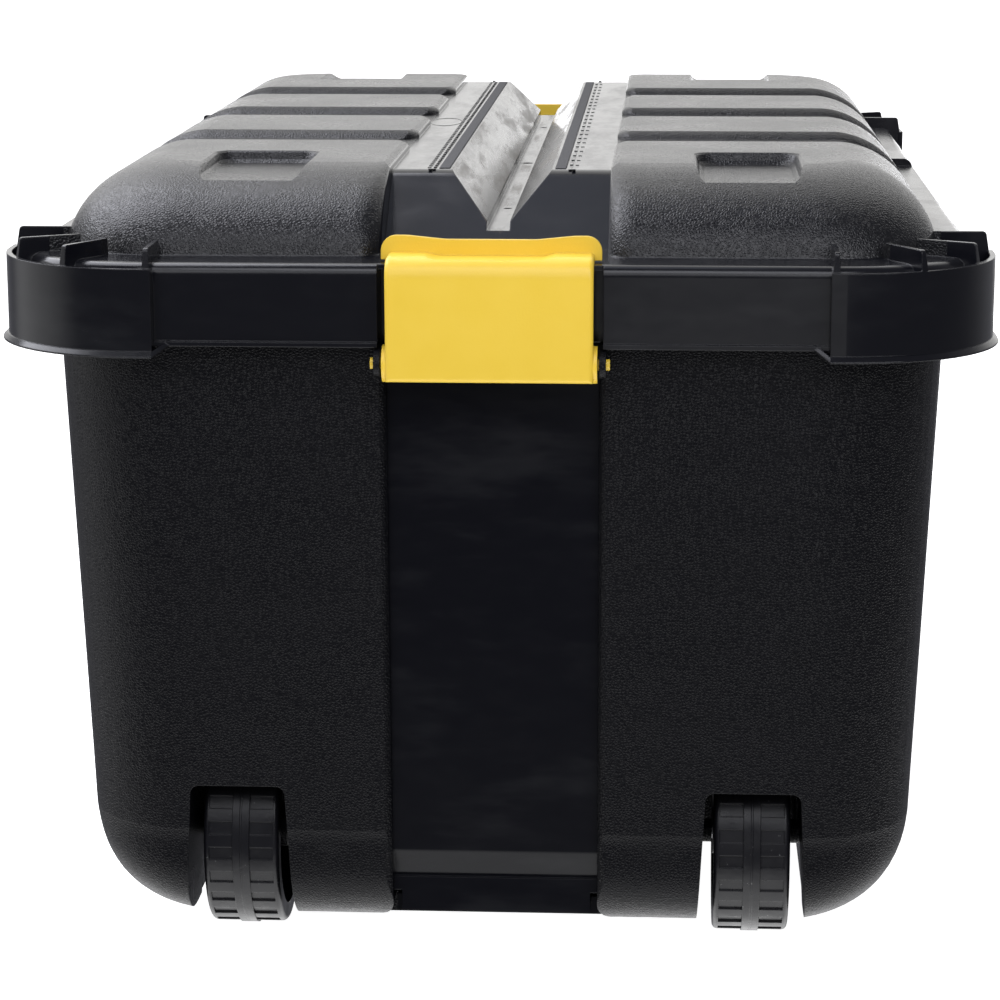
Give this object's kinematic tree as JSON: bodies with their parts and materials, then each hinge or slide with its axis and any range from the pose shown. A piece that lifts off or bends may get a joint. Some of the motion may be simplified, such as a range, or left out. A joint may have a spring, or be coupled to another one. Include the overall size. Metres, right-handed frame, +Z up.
{
  "type": "wheeled storage box",
  "caption": "Large black moulded storage box with a ribbed lift-off lid, a V-groove along the lid, yellow end latches and wheels at one end.",
  "frame": {"origin": "on the ground under the middle of the box", "axes": "+Z up, +Y along the length away from the wheels, X across the width"},
  "size_m": [0.54, 0.864, 0.433],
  "materials": {
    "black_plastic": "black moulded polypropylene, leather grain on the lobes and pads, smooth elsewhere",
    "yellow_plastic": "yellow moulded plastic with a fine texture",
    "grip_rubber": "dark matte soft strip",
    "wheel_plastic": "black half-gloss plastic with moulded tread",
    "axle_steel": "plain steel pin"
  },
  "bodies": {
    "tub_body": {"tub": "black_plastic", "axle_left": "axle_steel", "axle_right": "axle_steel"},
    "lid_body": {"lid": "black_plastic", "grip_strip_left": "grip_rubber", "grip_strip_right": "grip_rubber"},
    "near_latch": {"latch_near": "yellow_plastic"},
    "far_latch": {"latch_far": "yellow_plastic"},
    "left_wheel": {"wheel_left": "wheel_plastic"},
    "right_wheel": {"wheel_right": "wheel_plastic"}
  },
  "joints": [
    {"name": "lid_lift", "type": "slide", "parent": "tub_body", "child": "lid_body", "axis": [0, 0, 1], "range_m": [0, 0.3]},
    {"name": "near_latch_hinge", "type": "hinge", "parent": "tub_body", "child": "near_latch", "pos_m": [0, -0.421, 0.3395], "axis": [1, 0, 0], "range_deg": [0, 110]},
    {"name": "far_latch_hinge", "type": "hinge", "parent": "tub_body", "child": "far_latch", "pos_m": [0, 0.421, 0.3395], "axis": [-1, 0, 0], "range_deg": [0, 110]},
    {"name": "left_wheel_spin", "type": "hinge", "parent": "tub_body", "child": "left_wheel", "pos_m": [-0.1415, -0.328, 0.056], "axis": [1, 0, 0], "continuous": true},
    {"name": "right_wheel_spin", "type": "hinge", "parent": "tub_body", "child": "right_wheel", "pos_m": [0.1415, -0.328, 0.056], "axis": [1, 0, 0], "continuous": true}
  ]
}
